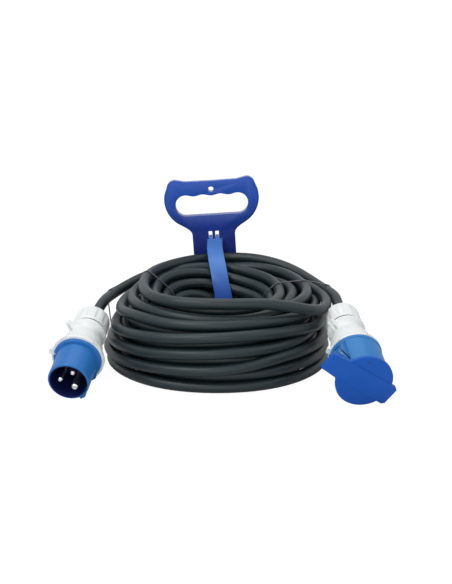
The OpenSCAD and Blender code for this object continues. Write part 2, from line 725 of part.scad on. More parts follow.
module coupler_skirt() {
  color(connector_blue) at_coupler() difference() {
    union() {
      rod(skirt_r, -flange_t, skirt_len);
      rotate_extrude() polygon([[0, -flange_t], [coupler_flange_r, -flange_t],
        [coupler_flange_r, -0.8], [coupler_flange_r - 0.8, 0], [0, 0]]);
      rod(spigot_r, -flange_t - spigot_len, -flange_t + 0.5);
    }
    rod(skirt_in_r, 0, skirt_len + 1);
    rod(carrier_bore_r, -flange_t - spigot_len - 1, 1);
    rotate([0, 0, coupler_earth_angle]) translate([skirt_in_r - 1, -key_w / 2 - keyway_gap, key_setback])
      cube([keyway_depth + 1, key_w + 2 * keyway_gap, skirt_len]);
  }
}
// The front insert, whose mouths are as wide as the contacts' own bores, and
// behind it the carrier that holds the terminals
carrier_seam = -2;
mouth_depth = 2.5;
module socket_hole(i, z0, z1) {
  at_socket(i) rod((i == 0 ? earth_bore_r : contact_bore_r) + contact_wall + fit, z0, z1);
}
module coupler_insert() {
  color(carrier_black) at_coupler() difference() {
    union() {
      rod(carrier_r, carrier_seam, 0);
      rod(insert_r, -0.5, insert_face);
    }
    for (i = [0:2]) {
      socket_hole(i, carrier_seam - 1, insert_face - mouth_depth);
      at_socket(i)
        rod(i == 0 ? earth_bore_r : contact_bore_r, insert_face - mouth_depth - 0.5, insert_face + 1);
    }
  }
}
module coupler_contact_carrier() {
  color(carrier_black) at_coupler() difference() {
    rod(carrier_r, carrier_back, carrier_seam - seat);
    for (i = [0:2]) {
      socket_hole(i, carrier_back - 1, carrier_seam + 1);
      at_socket(i)
        rod(terminal_r + contact_wall / 2 + fit, carrier_back - 1, terminal_front + fit);
    }
    rod(carrier_core_r, carrier_back - 1, carrier_back + carrier_core_depth);
  }
}
contact_front = insert_face - mouth_depth - seat;
bore_floor = -1;
module socket_contact(i, bore) {
  at_socket(i) difference() {
    union() {
      rod(bore + contact_wall, terminal_front - 0.5, contact_front);
      terminal(terminal_front);
    }
    rod(bore, bore_floor, contact_front + 1);
    for (a = [0, 90]) rotate([0, 0, a]) translate([-6, -0.3, 8]) cube([12, 0.6, 40]);
  }
}
module contact_earth() {
  color(brass) at_coupler() socket_contact(0, earth_bore_r);
}
module contact_line() {
  color(brass) at_coupler() socket_contact(1, contact_bore_r);
}
module contact_neutral() {
  color(brass) at_coupler() socket_contact(2, contact_bore_r);
}
module coupler_terminal_screws() {
  color(steel) at_coupler() for (i = [0:2]) at_socket(i) terminal_screw();
}
module coupler_gasket() {
  color(rubber_black) at_coupler() gasket();
}
module coupler_housing() {
  color(housing_white) at_coupler() housing(coupler_fin_angle, coupler_slot_angle);
}
module coupler_gland_seal() {
  color(rubber_black) at_coupler() gland_seal();
}
module coupler_cable_clamp() {
  color(housing_white) at_coupler() cable_clamp();
}
module coupler_gland_nut() {
  color(housing_white) at_coupler() gland_nut();
}
module coupler_core_line() {
  color(line_brown) at_coupler() coupler_turn(1) core();
}
module coupler_core_neutral() {
  color(neutral_blue) at_coupler() coupler_turn(2) core();
}
module coupler_core_earth() {
  color(earth_green) at_coupler() coupler_turn(0) core();
}

// ---------------------------------------------------------------- lid
hood_w = 20;
module lid() {
  color(connector_blue) at_coupler() rotate([0, 0, lid_angle]) difference() {
    union() {
      rod(lid_r, lid_under, lid_under + lid_t);
      // raised band, thumb tab and hinge hood
      translate([0, 0, lid_under]) linear_extrude(lid_t + band_t)
        polygon([[-tab_reach + 3, -band_w / 2], [-tab_reach, -band_w / 2 + 2.5],
          [-tab_reach, band_w / 2 - 2.5], [-tab_reach + 3, band_w / 2],
          [lid_r - 4, band_w / 2], [hood_reach, hood_w / 2],
          [hood_reach, -hood_w / 2], [lid_r - 4, -band_w / 2]]);
      // knuckle between the ears, and the web that carries it
      across_hinge(knuckle_r, knuckle_w);
      translate([hinge_reach - knuckle_r, -knuckle_w / 2, hinge_z])
        cube([2 * knuckle_r, knuckle_w, lid_under + 1 - hinge_z]);
    }
    across_hinge(hinge_pin_r + fit, 2 * knuckle_w);
    // groove that holds the seal
    tube(skirt_r - 0.1, skirt_in_r + 0.3, lid_under - 1, lid_under + 0.6);
  }
}
module lid_seal() {
  color(rubber_black) at_coupler()
    tube(skirt_r - 0.2, skirt_in_r + 0.4, skirt_len + clear, lid_under + 0.55);
}
module hinge_pin() {
  color(steel) at_coupler() rotate([0, 0, lid_angle]) across_hinge(hinge_pin_r, block_w - 0.8);
}
// Torsion spring: a coil each side of the knuckle, with a leg on the skirt
spring_turns = 2;
spring_side = knuckle_w / 2 + 0.4 + spring_wire_d;
leg_len = hinge_reach - skirt_r - 1.2;
module lid_spring() {
  coil_r = hinge_pin_r + clear + spring_wire_d / 2;
  color(steel) at_coupler() rotate([0, 0, lid_angle]) for (s = [-1, 1])
    translate([hinge_reach, s * spring_side, hinge_z]) rotate([90, 0, 0]) {
      for (i = [0:spring_turns - 1]) translate([0, 0, (i - 0.5) * spring_wire_d * 0.98])
        rotate_extrude() translate([coil_r, 0]) circle(d = spring_wire_d, $fn = 24);
      rotate([0, 0, 180]) translate([0, -coil_r, 0]) rotate([0, 90, 0])
        cylinder(d = spring_wire_d, h = leg_len, $fn = 24);
    }
}

cable_coil();
plug_tail();
coupler_tail();
tie_left();
tie_right();
carry_handle();
handle_strap();
plug_shroud();
plug_contact_carrier();
pin_line();
pin_neutral();
pin_earth();
plug_terminal_screws();
plug_gasket();
plug_housing();
plug_gland_seal();
plug_cable_clamp();
plug_gland_nut();
plug_core_line();
plug_core_neutral();
plug_core_earth();
coupler_skirt();
hinge_bracket();
coupler_insert();
coupler_contact_carrier();
contact_line();
contact_neutral();
contact_earth();
coupler_terminal_screws();
coupler_gasket();
coupler_housing();
coupler_gland_seal();
coupler_cable_clamp();
coupler_gland_nut();
coupler_core_line();
coupler_core_neutral();
coupler_core_earth();
lid();
lid_seal();
hinge_pin();
lid_spring();
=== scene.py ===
import math

import bpy
from mathutils import Matrix, Vector, geometry


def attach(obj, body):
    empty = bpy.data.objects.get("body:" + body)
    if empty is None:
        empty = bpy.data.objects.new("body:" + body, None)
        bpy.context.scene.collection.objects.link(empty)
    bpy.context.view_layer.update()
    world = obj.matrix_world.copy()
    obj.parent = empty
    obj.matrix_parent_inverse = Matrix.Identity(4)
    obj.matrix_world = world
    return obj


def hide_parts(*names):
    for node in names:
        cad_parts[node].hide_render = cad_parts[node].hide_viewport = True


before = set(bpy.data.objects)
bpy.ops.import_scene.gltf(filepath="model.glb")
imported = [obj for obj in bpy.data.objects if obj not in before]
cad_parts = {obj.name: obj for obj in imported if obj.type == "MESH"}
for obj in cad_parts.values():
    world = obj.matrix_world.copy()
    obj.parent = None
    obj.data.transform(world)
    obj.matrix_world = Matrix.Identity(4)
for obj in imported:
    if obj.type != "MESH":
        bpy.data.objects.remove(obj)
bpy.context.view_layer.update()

mm = 0.001

# ---------------------------------------------------------------- camera
# The eye stands in front of the coil, a little right of its middle, and looks
# down on it through a long lens, so that near parts don't look big.
eye = Vector((7.2, -1285, 449.3)) * mm
look_down = 15.85
lens_mm = 73.97

bpy.ops.object.camera_add(location=eye, rotation=(math.radians(90 - look_down), 0, 0))
camera = bpy.context.object
camera.data.lens = lens_mm
bpy.context.scene.camera = camera

# ---------------------------------------------------------------- cable
# Three core flex in a matt black rubber sheath, 12 mm thick. It leaves the
# plug's gland, is wound by hand in 33 flat turns, comes up over the others in
# the last one, and goes into the coupler's gland.
coil_middle = Vector((-2, 20, 0)) * mm
coil_side = 128 * mm
coil_top = 97 * mm
cable_d = 12 * mm
cable_roundness = 6
station_gap = 9 * mm

# Each connector lies with its front rim on the floor, the shroud's or the closed
# lid's, and its rear end higher. Places on its axis count from the flange: the
# sheath's end, the gland and the nut's back behind it, and the rim before it.
jacket_end, in_gland, nut_back = -58 * mm, -66 * mm, -80 * mm
straight_out = 13 * mm
plug_yaw, plug_pitch, plug_reach, plug_rim_r = -8, 16.9, 38 * mm, 22
coupler_yaw, coupler_pitch, coupler_reach, coupler_rim_r = 7.4, 17.3, 41 * mm, 30
plug_rim = Vector((-155.8, -117.4, plug_rim_r * math.cos(math.radians(plug_pitch)))) * mm
coupler_rim = Vector((147.8, -138.6, coupler_rim_r * math.cos(math.radians(coupler_pitch)))) * mm


def lying(rim, yaw, pitch, reach):
    """The place of a connector on the floor. Its own Z axis runs out of the front, from the flange."""
    turned = Matrix.Rotation(math.radians(yaw), 4, "Z") @ Matrix.Rotation(math.radians(90 + pitch), 4, "X")
    return Matrix.Translation(rim) @ turned @ Matrix.Translation((0, 0, -reach))


plug_place = lying(plug_rim, plug_yaw, plug_pitch, plug_reach)
coupler_place = lying(coupler_rim, coupler_yaw, coupler_pitch, coupler_reach)


def by_coil(angle, reach, rise):
    """A point beside the coil: its angle, and how far it is beyond the coil's side and top, in mm."""
    r, a = coil_side + reach * mm, math.radians(angle)
    return coil_middle + Vector((r * math.cos(a), r * math.sin(a), coil_top + rise * mm))


def out_of(place, *heights):
    """Points on a connector's axis."""
    return [place @ Vector((0, 0, z)) for z in heights]


# The cable's two ends leave the glands straight and then run along the coil.
plug_tail = out_of(plug_place, jacket_end, in_gland, nut_back, nut_back - straight_out) + [
    by_coil(*q)
    for q in [(180, 3, -31), (173, 2, -31), (167, 1.5, -32), (160, 1, -32), (153, 0, -30),
              (145, -2, -27), (138, -3.5, -24), (132, -5, -22), (126, -6, -21), (120, -8.5, -24),
              (113, -12.5, -28), (106, -17, -33)]
]
coupler_tail = out_of(coupler_place, jacket_end, in_gland, nut_back, nut_back - straight_out) + [
    by_coil(*q)
    for q in [(-4, 6.5, -22), (2, 2, -22), (9, -1.5, -22), (16, -4, -22), (24, -6, -20), (31, -8, -17),
              (38, -10.5, -13), (46, -14, -9), (55, -17.5, -6), (66, -19.5, -4), (75, -20.5, -4),
              (85, -19.5, -5)]
]

# Each turn is {angle: (radius, height)} in mm, in the order of winding, and the
# way it swings as it moves on to the next turn's place behind the handle.
low_rows = {
    "floor": ({180: (121.5, 6.2), 225: (119, 6.8), 270: (114.5, 6.3), 315: (119, 6.8), 0: (121, 6.2),
               90: (119, 6.2)}, 1),
    "tucked 1": ({180: (109.5, 18), 225: (108.5, 17), 270: (108.5, 17.2), 315: (118.5, 20.5), 0: (121, 20),
                  90: (109.5, 18)}, -1),
    "second": ({180: (125, 17.6), 200: (122, 17.8), 225: (121, 21.8), 245: (121, 24.9), 270: (121, 27),
                289: (121, 31.5), 300: (121, 35.5), 315: (121, 36), 0: (121, 34), 90: (120, 24),
                135: (122, 21)}, 1),
    "tucked 2": ({180: (109.5, 33), 225: (110, 30), 270: (111, 36.3), 315: (109.5, 31), 0: (110, 28.5),
                  90: (110, 32)}, -1),
    "third": ({180: (120.5, 29.5), 207: (120, 33.7), 225: (120, 37.8), 257: (120, 43.7), 281: (120, 46.8),
               308: (117, 46.5), 337: (110, 45.5), 0: (109.5, 45), 45: (115, 43), 90: (119, 41)}, 1),
    "tucked 3": ({180: (104.5, 45), 225: (108, 45.5), 270: (109, 53.8), 315: (105, 56), 0: (100.5, 51),
                  45: (103, 50), 90: (107, 49.5)}, -1),
    "fourth": ({180: (116, 44.5), 208: (118, 50), 225: (118, 54.3), 244: (118, 58.1), 265: (118, 62),
                289: (118, 63.5), 308: (118, 61.3), 337: (118, 53.5), 0: (118, 54.3), 45: (118, 55),
                90: (118, 55), 112: (118, 56), 135: (117, 50)}, 1),
    "fifth": ({75: (110.5, 66), 45: (110, 66.5), 20: (111, 67.5), 0: (110.8, 67.5), 340: (110, 68),
               313: (109, 71), 291: (108, 72.7), 270: (108, 72.4), 241: (108, 70.8), 225: (108, 71),
               209: (108, 69), 190: (110, 63.5), 180: (110, 62.5), 150: (108, 67), 130: (105.5, 73)}, 0),
}
top_rows = [
    ({112: (106, 63), 90: (103, 61), 75: (101, 60.5), 45: (97, 61), 0: (93, 62), 315: (95.5, 63),
      270: (100, 60.5), 225: (102, 60), 200: (101, 58.5), 180: (99, 57), 135: (97, 57)}, 0),
    ({90: (86, 73), 45: (87, 76), 0: (85, 78), 340: (84, 76), 315: (86, 70), 270: (88, 65), 225: (86, 66),
      180: (84, 72), 135: (84, 73)}, 1),
    ({75: (94, 86), 45: (98, 85.5), 20: (99, 83), 0: (101, 80), 340: (100, 80), 315: (97, 78),
      293: (97, 74), 270: (96, 74), 238: (98, 77), 213: (98, 78), 195: (97, 75), 180: (96, 75.5),
      135: (92, 82), 112: (92, 86)}, 0),
    ({270: (84, 82), 300: (84, 81), 330: (74, 79), 0: (70, 79), 45: (74, 83), 90: (80, 86), 135: (76, 84),
      180: (71, 80), 225: (80, 80)}, 0),
    ({270: (73, 66), 315: (66, 68), 0: (60, 71), 45: (64, 74), 90: (68, 76), 135: (65, 74), 180: (60, 71),
      225: (66, 66)}, 0),
    ({270: (62, 54), 315: (59, 57), 0: (57, 60), 45: (57, 64), 90: (58, 66), 135: (57, 64), 180: (56, 60),
      225: (59, 57)}, 0),
]
# The buried turns stand in columns, each wound down or up beside the last:
# (radius, lowest, turns, way), with rows a cable's thickness apart.
row_step = 12
columns = [(58, 6.5, 4, -1), (68.5, 12.5, 4, 1), (79.5, 6.5, 4, -1), (89, 12.5, 4, 1), (99, 7, 3, -1)]

turns = list(top_rows)
for radius, lowest, count, way in columns:
    heights = [lowest + row_step * k for k in range(count)][::way]
    turns += [({0: (radius, height)}, 0) for height in heights]
turns += list(low_rows.values())

# The last turn lies on top of the others, from behind on the right, round the
# front and back over the rear, where it becomes the coupler's tail.
over_the_top = {
    112: (104, 77.5), 95: (104, 81.8), 75: (104, 82.3), 60: (104.5, 81.5), 45: (106, 79), 25: (110, 75.5),
    0: (119, 74), -15: (125, 74), -29: (126.5, 75), -40: (121.5, 82), -48: (116, 87), -58: (105, 91),
    -70: (99, 92), -85: (94, 92), -95: (93, 92), -110: (94, 91.5), -121: (96, 91.5), -135: (93, 91),
    -150: (89, 90), -165: (85, 90), -180: (83.5, 90), -200: (86, 90.5), -215: (89, 91), -232: (93, 91.5),
    -247: (98, 92), -258: (104, 92),
}


def eased(w):
    """A share from 0 to 1 that starts and ends gently."""
    return w * w * (3 - 2 * w)


def place_in(stations, angle):
    """Radius and height of a turn at an angle, smoothly between its stations."""
    known = sorted(stations)
    if len(known) == 1:
        return Vector(stations[known[0]])
    after = next((k for k in known if k > angle % 360), known[0] + 360)
    before = known[known.index(after % 360) - 1] if after % 360 in known else known[-1]
    span = (after - before) % 360
    w = eased(((angle - before) % 360) / span)
    return Vector(stations[before]).lerp(Vector(stations[after % 360]), w)


# A turn moves on to the next one's place within shift_half degrees of shift_at.
# On the way it swings in or out by up to shift_swing, in mm, past its neighbour.
shift_at, shift_half = 95, 38
shift_swing = 5


def wound(angle_step=7.5):
    """The centreline of all the turns, clockwise from behind the handle."""
    line = []
    total = len(turns) * 360 - shift_half
    for i in range(int(total / angle_step) + 1):
        gone = i * angle_step
        turn = min(int(gone // 360), len(turns) - 1)
        end = round(gone / 360)
        late = gone - end * 360
        angle = shift_at - gone
        if 0 < end < len(turns) and abs(late) < shift_half:
            share = (late + shift_half) / (2 * shift_half)
            r, z = place_in(turns[end - 1][0], angle).lerp(place_in(turns[end][0], angle), eased(share))
            r += turns[end - 1][1] * shift_swing * (4 * share * (1 - share)) ** 2
        else:
            r, z = place_in(turns[turn][0], angle)
        line.append(by_coil(angle, r - coil_side / mm, z - coil_top / mm))
    return line


def evened(points, gap, rounds=8):
    """Points at even distances along a line through the given ones, with its kinks eased out."""
    line = [points[0]]
    for a, b, c, d in zip([points[0]] + points, points, points[1:], points[2:] + [points[-1]]):
        for t in (0.25, 0.5, 0.75, 1):
            square, cube = (2 * a - 5 * b + 4 * c - d) * t**2, (3 * (b - c) + d - a) * t**3
            line.append(0.5 * (2 * b + (c - a) * t + square + cube))
    even, left = [line[0]], gap
    for a, b in zip(line, line[1:]):
        while (b - a).length >= left:
            a = a + (b - a).normalized() * left
            even.append(a)
            left = gap
        left -= (b - a).length
    smooth, swell_back = 0.5, -0.3
    for _ in range(rounds):
        for pull in (smooth, swell_back):
            mid = [p.lerp((a + c) / 2, pull) for a, p, c in zip(even[1:], even[2:], even[3:])]
            even[2:-1] = mid
    return even


middle = [by_coil(a, r - coil_side / mm, z - coil_top / mm) for a, (r, z) in over_the_top.items()]
cable_line = evened(plug_tail + wound() + middle + coupler_tail[::-1], station_gap)
cable_length = sum((b - a).length for a, b in zip(cable_line, cable_line[1:]))

cable_curve = bpy.data.curves.new("cable", "CURVE")
cable_curve.dimensions = "3D"
cable_curve.bevel_depth = cable_d / 2
cable_curve.bevel_resolution = cable_roundness
cable_curve.use_fill_caps = True
run = cable_curve.splines.new("POLY")
run.points.add(len(cable_line) - 1)
for point, place in zip(run.points, cable_line):
    point.co = (*place, 1)
run.use_smooth = True
cable = bpy.data.objects.new("cable", cable_curve)
bpy.context.scene.collection.objects.link(cable)


class Wire:
    """A socket in a material's nodes. Arithmetic on it adds the Math nodes."""

    def __init__(self, tree, socket=None):
        self.tree, self.socket = tree, socket

    def node(self, kind, settings, inputs, out=0):
        """Adds a node: its settings first, then its sockets' values or links."""
        made = self.tree.nodes.new("ShaderNode" + kind)
        for key, value in settings.items():
            if key == "stops":
                for k, (place, shade) in enumerate(value):
                    ramp = made.color_ramp.elements
                    stop = ramp[k] if k < len(ramp) else ramp.new(place)
                    stop.position, stop.color = place, (*shade, 1)
            else:
                setattr(made, key, value)
        for key, value in inputs.items():
            if isinstance(value, Wire):
                self.tree.links.new(value.socket, made.inputs[key])
            else:
                made.inputs[key].default_value = value
        return Wire(self.tree, made.outputs[out] if len(made.outputs) else None)

    def maths(self, operation, a, b):
        return self.node("Math", {"operation": operation}, {0: a, 1: b})

    def __add__(self, other):
        return self.maths("ADD", self, other)

    def __sub__(self, other):
        return self.maths("SUBTRACT", self, other)

    def __rsub__(self, other):
        return self.maths("SUBTRACT", other, self)

    def __mul__(self, other):
        return self.maths("MULTIPLY", self, other)

    __radd__, __rmul__ = __add__, __mul__

    def shades(self, first, second):
        """A colour between two, by this value."""
        ends = [one if isinstance(one, Wire) else (*one, 1) for one in (first, second)]
        return self.node("Mix", {"data_type": "RGBA"}, {0: self, 6: ends[0], 7: ends[1]}, out=2)


grain_depth = 0.05 * mm
patch_drift, grain_drift = 0.12, 0.08


def moulded(name, dark, light, rough, grain=0.4, grain_size=0.6, mottle=12, coat=0.0, metal=0.0, shine=0.35,
            tint=None):
    """A material: two close shades in soft patches, a roughness that drifts, and a fine grain."""
    material = bpy.data.materials.new(name)
    material.use_nodes = True
    material.node_tree.nodes.clear()
    start = Wire(material.node_tree)
    place = start.node("TexCoord", {}, {}, out="Object")
    cloudy = {"Vector": place, "Scale": 1000 / mottle, "Detail": 3.0, "Roughness": 0.55}
    patches = start.node("TexNoise", {}, cloudy)
    grains = start.node("TexNoise", {}, {"Vector": place, "Scale": 1000 / grain_size, "Detail": 2.0})
    bump = start.node("Bump", {}, {"Strength": grain, "Distance": grain_depth, "Height": grains})
    colour = patches.shades(dark, light)
    surface = start.node("BsdfPrincipled", {}, {
        "Base Color": tint(start, place, colour) if tint else colour,
        "Roughness": rough + patch_drift * (patches - 0.5) + grain_drift * (grains - 0.5),
        "Metallic": metal,
        "Coat Weight": coat,
        "Coat Roughness": 0.25,
        "Specular IOR Level": shine,
        "Normal": bump,
    })
    start.node("OutputMaterial", {}, {"Surface": surface})
    return material


rubber_dark, rubber_light = (0.0065, 0.0142, 0.0175), (0.0115, 0.0222, 0.0272)
rubber = moulded("cable_rubber", rubber_dark, rubber_light, 0.42, grain=0.5, grain_size=1.2, mottle=40)
cable_curve.materials.append(rubber)
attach(cable, "cord_set")
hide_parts("cable_coil", "plug_tail", "coupler_tail")

# ---------------------------------------------------------------- ties
# Two black nylon cable ties, pulled tight round all the turns and the cable's
# end beside them. Each is one flat band with its lock inside the hollow.
tie_thick = 0.9 * mm
tie_wide = 2.2 * mm
tie_lock = Vector((3.4, 5, 4.2)) * mm
tie_lock_rise = 42 * mm
tie_lock_round = 0.5 * mm
tie_step_degrees = 12
tie_smooth_degrees = 40


def pulled_round(angle):
    """The loop in its own plane, r and z, that a tie makes round the turns it crosses."""
    way = Vector((math.cos(math.radians(angle)), math.sin(math.radians(angle)), 0))
    reach = (cable_d + tie_thick) / 2
    around = []
    for a, b in zip(cable_line, cable_line[1:]):
        left, right = (way.cross(p - coil_middle).z for p in (a, b))
        crossing = a.lerp(b, left / (left - right)) - coil_middle if left * right < 0 else -way
        if crossing.dot(way) > 0:
            for step in range(0, 360, tie_step_degrees):
                t = math.radians(step)
                height = max(crossing.z + reach * math.sin(t), tie_thick / 2)
                around.append(Vector((crossing.dot(way) + reach * math.cos(t), height)))
    return [around[k] for k in geometry.convex_hull_2d(around)]


def finished(piece, material, body, *nodes):
    """Gives a piece its material, the body it rides on and the nodes it stands for."""
    piece.data.materials.clear()
    piece.data.materials.append(material)
    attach(piece, body)
    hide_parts(*nodes)


def tied(node, angle, material):
    """A tie's band, swept along its loop, with the lock on its inner side."""
    name = "taut_" + node
    loop = pulled_round(angle)
    bpy.ops.object.select_all(action="DESELECT")
    band = bpy.data.curves.new(name, "CURVE")
    band.dimensions = "3D"
    band.twist_mode = "Z_UP"
    band.bevel_depth = tie_thick / 2
    band.extrude = (tie_wide - tie_thick) / 2
    band.bevel_resolution = 2
    line = band.splines.new("POLY")
    line.points.add(len(loop) - 1)
    for point, (r, z) in zip(line.points, loop):
        point.co = (r, z, 0, 1)
    line.use_cyclic_u = True
    line.use_smooth = True
    tie = bpy.data.objects.new(name, band)
    bpy.context.scene.collection.objects.link(tie)
    tie.select_set(True)
    bpy.context.view_layer.objects.active = tie
    bpy.ops.object.convert(target="MESH")
    bpy.ops.object.select_all(action="DESELECT")
    inner = min(r for r, z in loop)
    bpy.ops.mesh.primitive_cube_add(size=1, location=(inner - tie_lock.x / 2, tie_lock_rise, 0))
    lock = bpy.context.object
    lock.scale = tie_lock
    bpy.ops.object.transform_apply(location=False, rotation=False, scale=True)
    edge = lock.modifiers.new("edges", "BEVEL")
    edge.width, edge.segments = tie_lock_round, 2
    bpy.ops.object.modifier_apply(modifier="edges")
    tie.select_set(True)
    bpy.context.view_layer.objects.active = tie
    bpy.ops.object.join()
    tie.rotation_euler = (math.radians(90), 0, math.radians(angle))
    tie.location = coil_middle
    bpy.ops.object.transform_apply(location=True, rotation=True, scale=True)
    bpy.ops.object.shade_smooth_by_angle(angle=math.radians(tie_smooth_degrees))
    finished(tie, material, "cord_set", node)


tie_nylon = moulded("tie_nylon", (0.016, 0.018, 0.020), (0.04, 0.043, 0.047), 0.3, shine=0.6)
for node, angle in {"tie_left": 163, "tie_right": 10}.items():
    tied(node, angle, tie_nylon)

# ---------------------------------------------------------------- plug front
# The shroud round the pins, one blue PA6 moulding with its flange. Its inside is
# painted deep dark navy as the shade in its well, with the contact carrier on its floor.


def softened(node, width, segments=2, sharp=35, smooth=32, weld=0.002 * mm, flat=1.2):
    """A copy of a frame node as one skin, with its sharp edges rounded as a mould leaves them."""
    bpy.ops.object.select_all(action="DESELECT")
    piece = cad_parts[node].copy()
    piece.data = piece.data.copy()
    piece.name = "soft_" + node
    piece.parent = None
    piece.matrix_world = Matrix.Identity(4)
    bpy.context.scene.collection.objects.link(piece)
    piece.select_set(True)
    bpy.context.view_layer.objects.active = piece
    bpy.ops.object.mode_set(mode="EDIT")
    bpy.ops.mesh.select_all(action="SELECT")
    bpy.ops.mesh.remove_doubles(threshold=weld)
    bpy.ops.mesh.dissolve_limited(angle_limit=math.radians(flat))
    bpy.ops.object.mode_set(mode="OBJECT")
    edge = piece.modifiers.new("edges", "BEVEL")
    edge.width, edge.segments, edge.limit_method = width, segments, "ANGLE"
    edge.angle_limit = math.radians(sharp)
    edge.use_clamp_overlap = True
    edge.miter_outer = "MITER_ARC"
    bpy.ops.object.modifier_apply(modifier="edges")
    bpy.ops.object.shade_smooth_by_angle(angle=math.radians(smooth))
    return piece


def dressed(material, *nodes):
    """Gives frame nodes whose shape is right their material."""
    for node in nodes:
        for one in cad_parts[node].material_slots:
            one.material = material


def painted_shade_within(place, radius, shade):
    """A tint of painted shade for the inside of a round hollow: it lies nearer the axis than the radius."""
    middle, axis = place.translation, place.to_3x3().col[2]

    def tint(start, spot, colour):
        offset = start.node("VectorMath", {"operation": "SUBTRACT"}, {0: spot, 1: middle})
        aside = start.node("VectorMath", {"operation": "CROSS_PRODUCT"}, {0: offset, 1: axis})
        out = start.node("VectorMath", {"operation": "LENGTH"}, {0: aside}, out="Value")
        return out.maths("LESS_THAN", out, radius).shades(colour, shade)

    return tint


well_r = 20.4 * mm
blue_dark, blue_light = (0.016, 0.125, 0.38), (0.021, 0.155, 0.46)
# The shroud's inside, nearer its axis than well_r, is painted deep navy as shade.
shroud_blue = moulded("connector_plastic", blue_dark, blue_light, 0.36, grain=0.25, mottle=25, shine=0.25,
                      tint=painted_shade_within(plug_place, well_r, (0.005, 0.010, 0.070)))
carrier_dark = moulded("carrier_plastic", (0.005, 0.008, 0.050), (0.008, 0.011, 0.065), 0.55, grain=0.3)
finished(softened("plug_shroud", 0.5 * mm), shroud_blue, "cord_set", "plug_shroud")
finished(softened("plug_contact_carrier", 0.3 * mm), carrier_dark, "cord_set", "plug_contact_carrier")

# ---------------------------------------------------------------- pins and terminals
# Turned brass pins with nickel plate, pressed into the carrier. Their rear ends
# are drilled for the cores, each under a steel screw.
nickel = moulded("pin_nickel", (0.74, 0.74, 0.72), (0.84, 0.84, 0.82), 0.3, grain=0.2, grain_size=0.3,
                 metal=1.0)
steel = moulded("screw_steel", (0.50, 0.51, 0.53), (0.66, 0.67, 0.69), 0.34, grain=0.2, metal=1.0)
dressed(nickel, "pin_line", "pin_neutral", "pin_earth")
dressed(steel, "plug_terminal_screws", "coupler_terminal_screws")

# ---------------------------------------------------------------- housings and gland nuts
# White nylon mouldings with ribs to grip. A housing twists on behind the front
# part, and the nut behind it squeezes a rubber seal on the cable.
white_dark, white_light = (0.70, 0.73, 0.73), (0.76, 0.79, 0.79)
housing_white = moulded("housing_plastic", white_dark, white_light, 0.46, grain=0.3, mottle=18)
# Each nut's front face, beyond this height along its axis, is painted near-black as the shade in the gap
# before the housing.
nut_face = -53.3 * mm
painted_gap_shade = (0.03, 0.03, 0.033)


def painted_shade_beyond(place, height, shade):
    """A tint of painted shade for the face that looks into a gap: it lies further along the axis than the
    height.
    """
    middle, axis = place.translation, place.to_3x3().col[2]

    def tint(start, spot, colour):
        offset = start.node("VectorMath", {"operation": "SUBTRACT"}, {0: spot, 1: middle})
        along = start.node("VectorMath", {"operation": "DOT_PRODUCT"}, {0: offset, 1: axis}, out="Value")
        return along.maths("GREATER_THAN", along, height).shades(colour, shade)

    return tint


for side, place in (("plug", plug_place), ("coupler", coupler_place)):
    # The nut's white carries the painted gap shade on its front face.
    nut_white = moulded("housing_plastic", white_dark, white_light, 0.46, grain=0.3, mottle=18,
                        tint=painted_shade_beyond(place, nut_face, painted_gap_shade))
    finished(softened(side + "_housing", 0.5 * mm), housing_white, "cord_set", side + "_housing")
    finished(softened(side + "_gland_nut", 0.5 * mm), nut_white, side + "_nut", side + "_gland_nut")

# ---------------------------------------------------------------- inside the housings
# Rubber gaskets and gland seals, nylon cable clamps, and the three cores with
# their PVC skins, from the sheath's end to the terminals.
seal_black = moulded("seal_rubber", (0.010, 0.010, 0.011), (0.018, 0.018, 0.020), 0.6)
clamp_white = moulded("clamp_nylon", (0.74, 0.74, 0.71), (0.82, 0.82, 0.79), 0.45)
core_brown = moulded("core_brown", (0.10, 0.035, 0.012), (0.14, 0.05, 0.018), 0.4)
core_blue = moulded("core_blue", (0.01, 0.06, 0.42), (0.015, 0.08, 0.5), 0.4)
core_earth = moulded("core_green_yellow", (0.06, 0.35, 0.03), (0.75, 0.62, 0.02), 0.4)
dressed(seal_black, "plug_gasket", "coupler_gasket", "plug_gland_seal", "coupler_gland_seal")
dressed(clamp_white, "plug_cable_clamp", "coupler_cable_clamp")
dressed(core_brown, "plug_core_line", "coupler_core_line")
dressed(core_blue, "plug_core_neutral", "coupler_core_neutral")
dressed(core_earth, "plug_core_earth", "coupler_core_earth")

# ---------------------------------------------------------------- coupler front
# The blue skirt with its flange, and the bracket bonded on it that carries the
# lid. The insert in it has three mouths with brass contacts behind them.
skirt_dark, skirt_light = (0.024, 0.165, 0.42), (0.030, 0.190, 0.50)
skirt_blue = moulded("connector_plastic", skirt_dark, skirt_light, 0.36, grain=0.25, mottle=25, shine=0.25)
brass = moulded("contact_brass", (0.62, 0.44, 0.16), (0.75, 0.56, 0.24), 0.3, grain=0.2, metal=1.0)
finished(softened("coupler_skirt", 0.4 * mm), skirt_blue, "cord_set", "coupler_skirt")

# A shallow groove is cut into both cheeks of the bracket, beside the lid. Its own
# X runs along it, Y into the cheek and Z across it.
lid_angle = 145
groove_at = Vector((31.8, 0, 27.6)) * mm
groove_lean = 43.5
groove_size = Vector((16, 30, 3.4)) * mm
grooves_apart = 19.4 * mm
# The next two sizes bound the painted shade: half its width across the bracket, and how far it reaches past
# each groove's sides.
painted_shade_half = 10.8 * mm
painted_shade_over = 0.1 * mm
bracket_place = coupler_place @ Matrix.Rotation(math.radians(lid_angle), 4, "Z")


